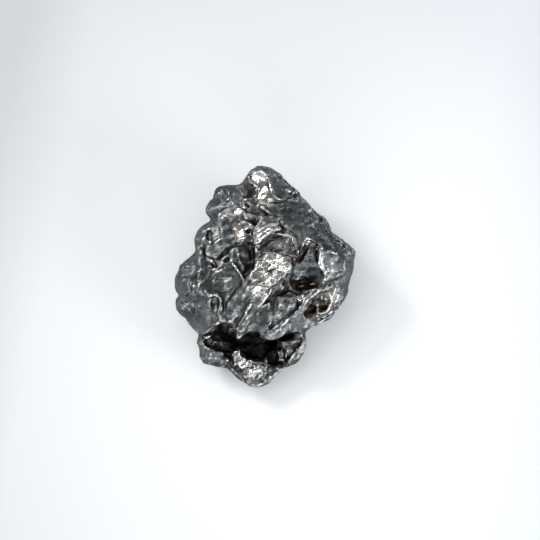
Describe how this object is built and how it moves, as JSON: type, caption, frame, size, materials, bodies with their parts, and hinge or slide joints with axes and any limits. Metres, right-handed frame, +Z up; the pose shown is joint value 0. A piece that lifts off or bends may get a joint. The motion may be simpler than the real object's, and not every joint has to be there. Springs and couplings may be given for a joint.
{
  "type": "iron meteorite",
  "caption": "Small cleaned iron meteorite nugget: one solid lump with ledges, folds and thumb-print hollows, a dark overhung hollow at its front and a flat spot to rest on.",
  "frame": {"origin": "middle of the footprint box, on the flat resting spot", "axes": "+Z up, +Y from the front hollow towards the peak, +X to the right of the face"},
  "size_m": [0.027, 0.0316, 0.0181],
  "materials": {
    "iron": "satin, darkened iron with rubbed bright edges"
  },
  "bodies": {
    "root": {"iron_meteorite": "iron"}
  },
  "joints": []
}
